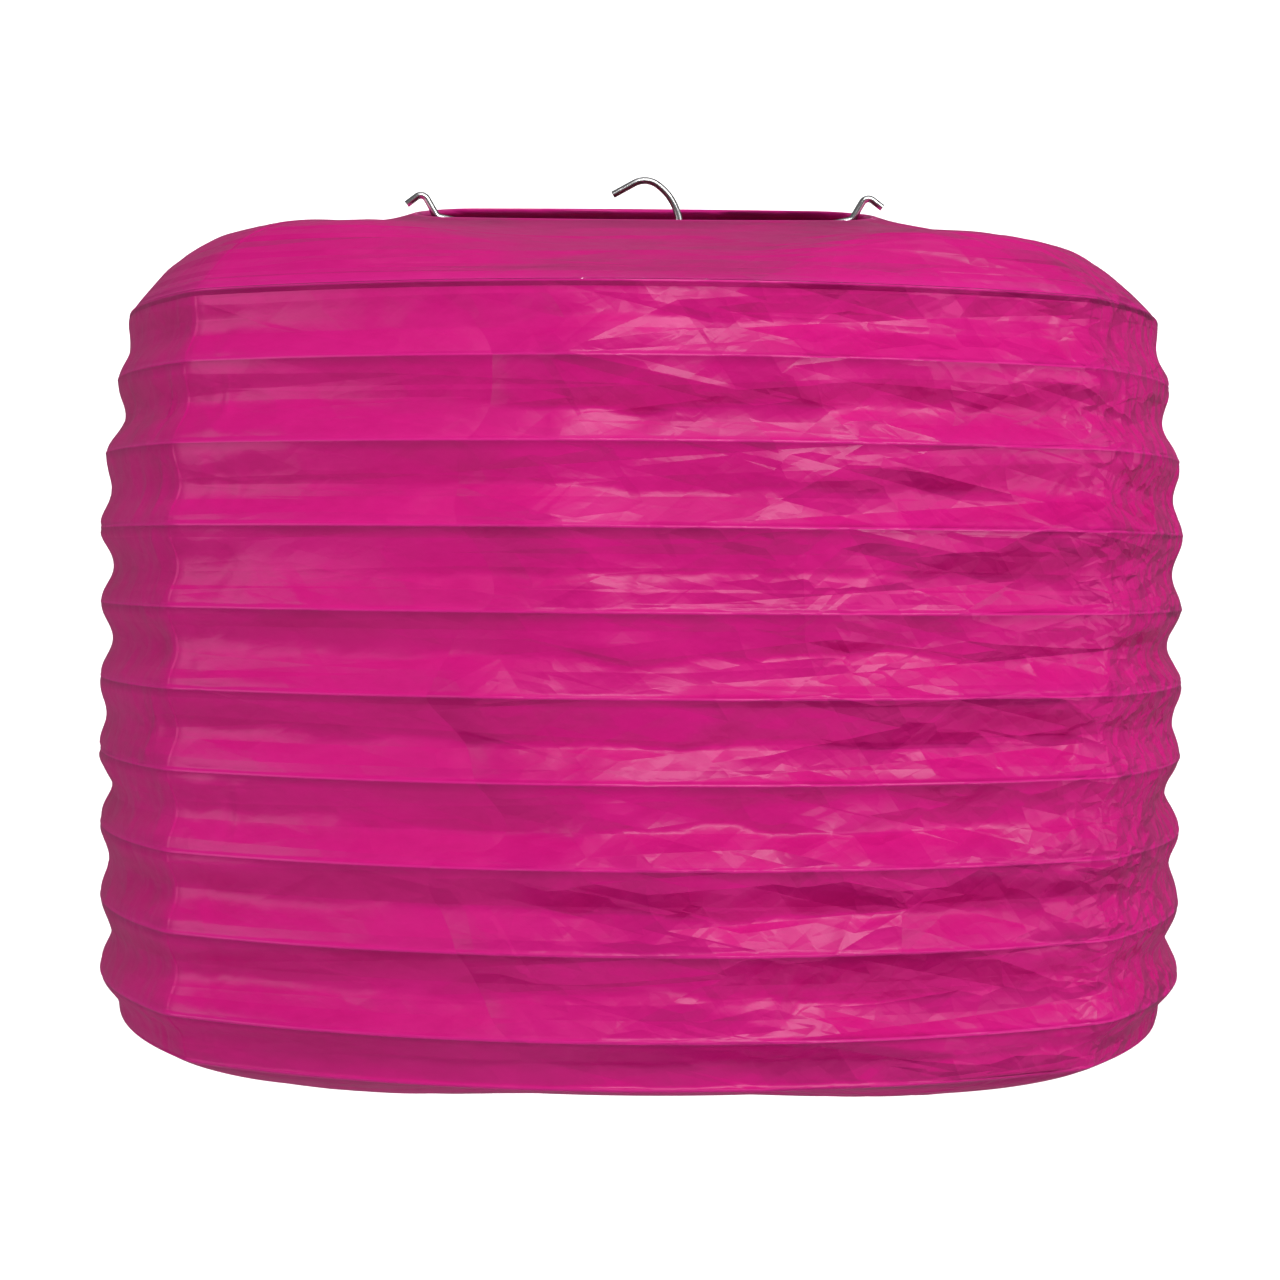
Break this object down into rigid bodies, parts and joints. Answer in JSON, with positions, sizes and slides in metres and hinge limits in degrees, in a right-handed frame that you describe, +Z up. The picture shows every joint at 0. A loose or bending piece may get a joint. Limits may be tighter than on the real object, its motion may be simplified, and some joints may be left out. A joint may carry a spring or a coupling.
{
  "type": "accordion paper lantern",
  "caption": "Square accordion paper lantern with bowed sides, wire rings and a pull-out wire expander with a loose hook; it folds flat.",
  "frame": {"origin": "the hang point, where the crown of the hook's bowl rests on its support, on the lantern's upright axis", "axes": "+Z up, +X along the hanger bar, +Y to the back, away from the viewer"},
  "size_m": [0.241, 0.241, 0.2032],
  "materials": {
    "paper": "glossy crinkled tissue",
    "ring_wire": "plain drawn wire",
    "frame_wire": "bright plated wire"
  },
  "bodies": {
    "top_ring": {"top_ring": "ring_wire"},
    "rib_01": {"rib_01": "ring_wire", "paper_band_01": "paper"},
    "rib_02": {"rib_02": "ring_wire", "paper_band_02": "paper"},
    "rib_03": {"rib_03": "ring_wire", "paper_band_03": "paper"},
    "rib_04": {"rib_04": "ring_wire", "paper_band_04": "paper"},
    "rib_05": {"rib_05": "ring_wire", "paper_band_05": "paper"},
    "rib_06": {"rib_06": "ring_wire", "paper_band_06": "paper"},
    "rib_07": {"rib_07": "ring_wire", "paper_band_07": "paper"},
    "rib_08": {"rib_08": "ring_wire", "paper_band_08": "paper"},
    "rib_09": {"rib_09": "ring_wire", "paper_band_09": "paper"},
    "rib_10": {"rib_10": "ring_wire", "paper_band_10": "paper"},
    "rib_11": {"rib_11": "ring_wire", "paper_band_11": "paper"},
    "bottom_ring": {"bottom_ring": "ring_wire", "paper_band_12": "paper"},
    "expander": {"stretcher_frame": "frame_wire", "hanger_bar": "frame_wire"},
    "hanging_hook": {"hanging_hook": "frame_wire"}
  },
  "joints": [
    {"name": "fold_01", "type": "slide", "parent": "top_ring", "child": "rib_01", "axis": [0, 0, 1], "range_m": [0, 0.0247], "deforming": ["paper_band_01"]},
    {"name": "fold_02", "type": "slide", "parent": "rib_01", "child": "rib_02", "axis": [0, 0, 1], "range_m": [0, 0.0124], "deforming": ["paper_band_02"]},
    {"name": "fold_03", "type": "slide", "parent": "rib_02", "child": "rib_03", "axis": [0, 0, 1], "range_m": [0, 0.01445], "deforming": ["paper_band_03"]},
    {"name": "fold_04", "type": "slide", "parent": "rib_03", "child": "rib_04", "axis": [0, 0, 1], "range_m": [0, 0.01445], "deforming": ["paper_band_04"]},
    {"name": "fold_05", "type": "slide", "parent": "rib_04", "child": "rib_05", "axis": [0, 0, 1], "range_m": [0, 0.01445], "deforming": ["paper_band_05"]},
    {"name": "fold_06", "type": "slide", "parent": "rib_05", "child": "rib_06", "axis": [0, 0, 1], "range_m": [0, 0.01445], "deforming": ["paper_band_06"]},
    {"name": "fold_07", "type": "slide", "parent": "rib_06", "child": "rib_07", "axis": [0, 0, 1], "range_m": [0, 0.01445], "deforming": ["paper_band_07"]},
    {"name": "fold_08", "type": "slide", "parent": "rib_07", "child": "rib_08", "axis": [0, 0, 1], "range_m": [0, 0.01445], "deforming": ["paper_band_08"]},
    {"name": "fold_09", "type": "slide", "parent": "rib_08", "child": "rib_09", "axis": [0, 0, 1], "range_m": [0, 0.01445], "deforming": ["paper_band_09"]},
    {"name": "fold_10", "type": "slide", "parent": "rib_09", "child": "rib_10", "axis": [0, 0, 1], "range_m": [0, 0.01445], "deforming": ["paper_band_10"]},
    {"name": "fold_11", "type": "slide", "parent": "rib_10", "child": "rib_11", "axis": [0, 0, 1], "range_m": [0, 0.008], "deforming": ["paper_band_11"]},
    {"name": "fold_12", "type": "slide", "parent": "rib_11", "child": "bottom_ring", "axis": [0, 0, 1], "range_m": [0, 0.0117], "deforming": ["paper_band_12"]},
    {"name": "expander_lift", "type": "slide", "parent": "top_ring", "child": "expander", "axis": [0, 0, 1], "range_m": [0, 0.21]},
    {"name": "hook_turn", "type": "hinge", "parent": "expander", "child": "hanging_hook", "pos_m": [0, 0, 0], "axis": [0, 0, 1], "range_deg": [-40, 40]}
  ],
  "couplings": [
    {"joint": "fold_02", "follows": "fold_01", "ratio": 0.50202},
    {"joint": "fold_03", "follows": "fold_01", "ratio": 0.58502},
    {"joint": "fold_04", "follows": "fold_01", "ratio": 0.58502},
    {"joint": "fold_05", "follows": "fold_01", "ratio": 0.58502},
    {"joint": "fold_06", "follows": "fold_01", "ratio": 0.58502},
    {"joint": "fold_07", "follows": "fold_01", "ratio": 0.58502},
    {"joint": "fold_08", "follows": "fold_01", "ratio": 0.58502},
    {"joint": "fold_09", "follows": "fold_01", "ratio": 0.58502},
    {"joint": "fold_10", "follows": "fold_01", "ratio": 0.58502},
    {"joint": "fold_11", "follows": "fold_01", "ratio": 0.32388},
    {"joint": "fold_12", "follows": "fold_01", "ratio": 0.47368}
  ]
}
